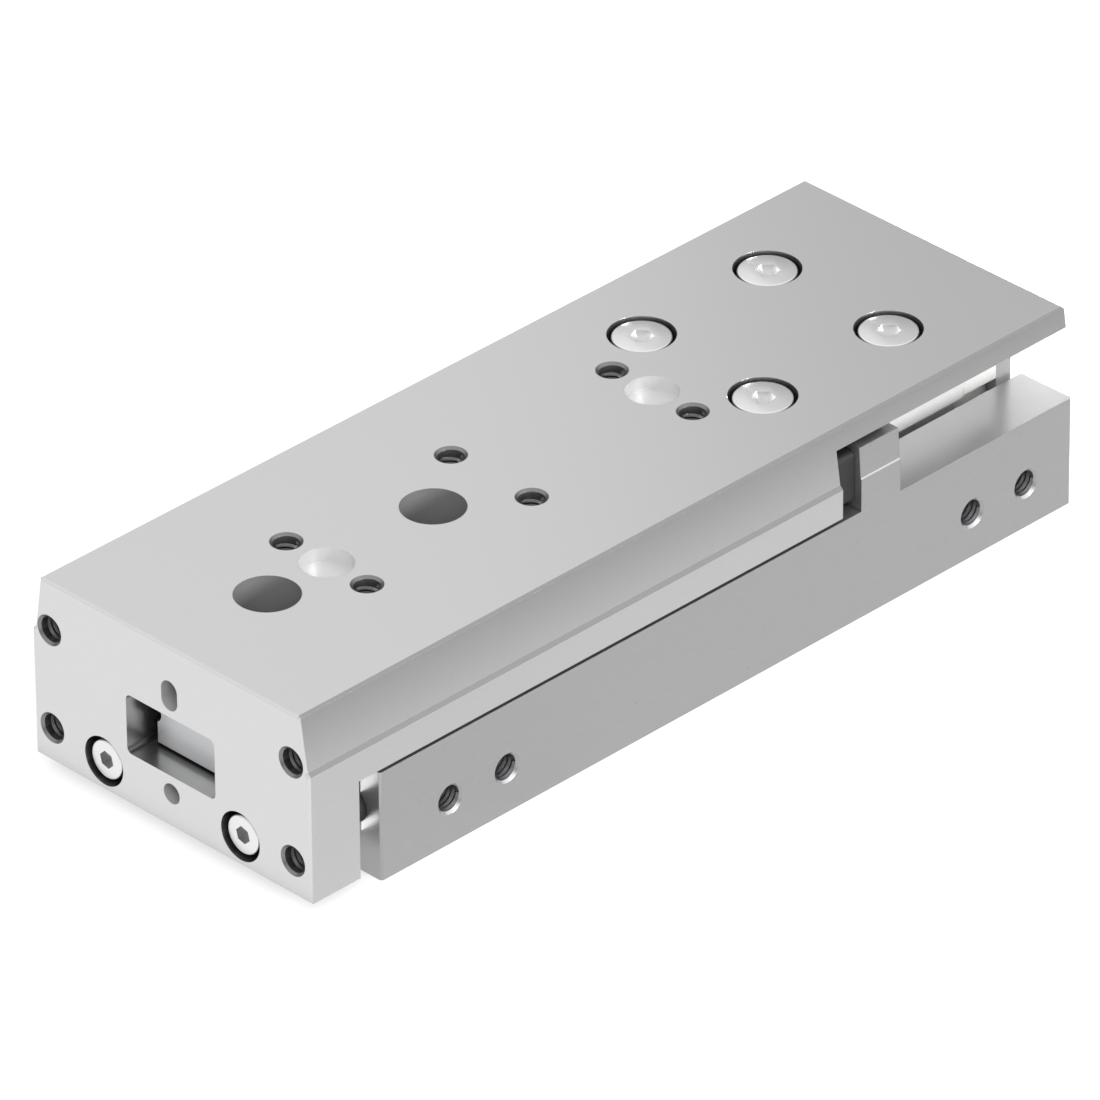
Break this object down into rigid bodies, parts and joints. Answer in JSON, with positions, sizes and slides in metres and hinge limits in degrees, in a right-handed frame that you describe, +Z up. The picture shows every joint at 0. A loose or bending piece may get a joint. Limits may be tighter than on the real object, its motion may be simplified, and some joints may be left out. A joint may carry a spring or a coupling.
{
  "type": "pneumatic slide table",
  "caption": "Flat twin-piston pneumatic slide table: a yoke and table ride on a ball rail guide over a housing with two cylinders.",
  "frame": {"origin": "middle of the base of the overall box, table retracted", "axes": "+X from the yoke to the rear along the stroke, +Y across to the sensor slot side, +Z up to the table face"},
  "size_m": [0.0948, 0.0344, 0.02],
  "materials": {
    "table_aluminium": "clear anodised, fine satin",
    "housing_aluminium": "clear anodised, fine satin",
    "rail_steel": "hardened and ground",
    "carriage_steel": "ground and polished",
    "cap_plastic": "moulded, pale",
    "seal_plate": "moulded rubber",
    "screw_steel": "bright stainless",
    "ball_steel": "polished bearing steel",
    "piston_aluminium": "turned",
    "rod_steel": "ground stainless",
    "magnet": "nickel plated",
    "elastomer": "black, moulded",
    "gland_bronze": "turned bearing bronze",
    "spring_steel": "phosphated"
  },
  "bodies": {
    "housing": {"housing_block": "housing_aluminium", "guide_rail": "rail_steel", "rail_screws": "screw_steel", "rod_gland_left": "gland_bronze", "rod_gland_right": "gland_bronze", "rod_seal_left": "elastomer", "rod_seal_right": "elastomer", "gland_o_ring_left": "elastomer", "gland_o_ring_right": "elastomer", "gland_ring_left": "spring_steel", "gland_ring_right": "spring_steel", "rear_plug_left": "piston_aluminium", "rear_plug_right": "piston_aluminium", "plug_o_ring_left": "elastomer", "plug_o_ring_right": "elastomer", "plug_ring_left": "spring_steel", "plug_ring_right": "spring_steel", "front_buffer_left": "elastomer", "front_buffer_right": "elastomer", "lug_buffer_left": "elastomer", "lug_buffer_right": "elastomer"},
    "slide": {"slide_table": "table_aluminium", "carriage_block": "carriage_steel", "end_cap_front": "cap_plastic", "end_cap_rear": "cap_plastic", "end_seal_front": "seal_plate", "end_seal_rear": "seal_plate", "end_cap_screws": "screw_steel", "carriage_screws": "screw_steel", "rod_screws": "screw_steel", "piston_rod_left": "rod_steel", "piston_rod_right": "rod_steel", "piston_front_left": "piston_aluminium", "piston_front_right": "piston_aluminium", "piston_magnet_left": "magnet", "piston_magnet_right": "magnet", "piston_rear_left": "piston_aluminium", "piston_rear_right": "piston_aluminium", "piston_seals_left": "elastomer", "piston_seals_right": "elastomer", "piston_bumper_left": "elastomer", "piston_bumper_right": "elastomer", "piston_nut_left": "screw_steel", "piston_nut_right": "screw_steel", "ball_row_left": "ball_steel", "ball_row_right": "ball_steel"}
  },
  "joints": [
    {"name": "table_slide", "type": "slide", "parent": "housing", "child": "slide", "axis": [-1, 0, 0], "range_m": [0, 0.05]}
  ]
}
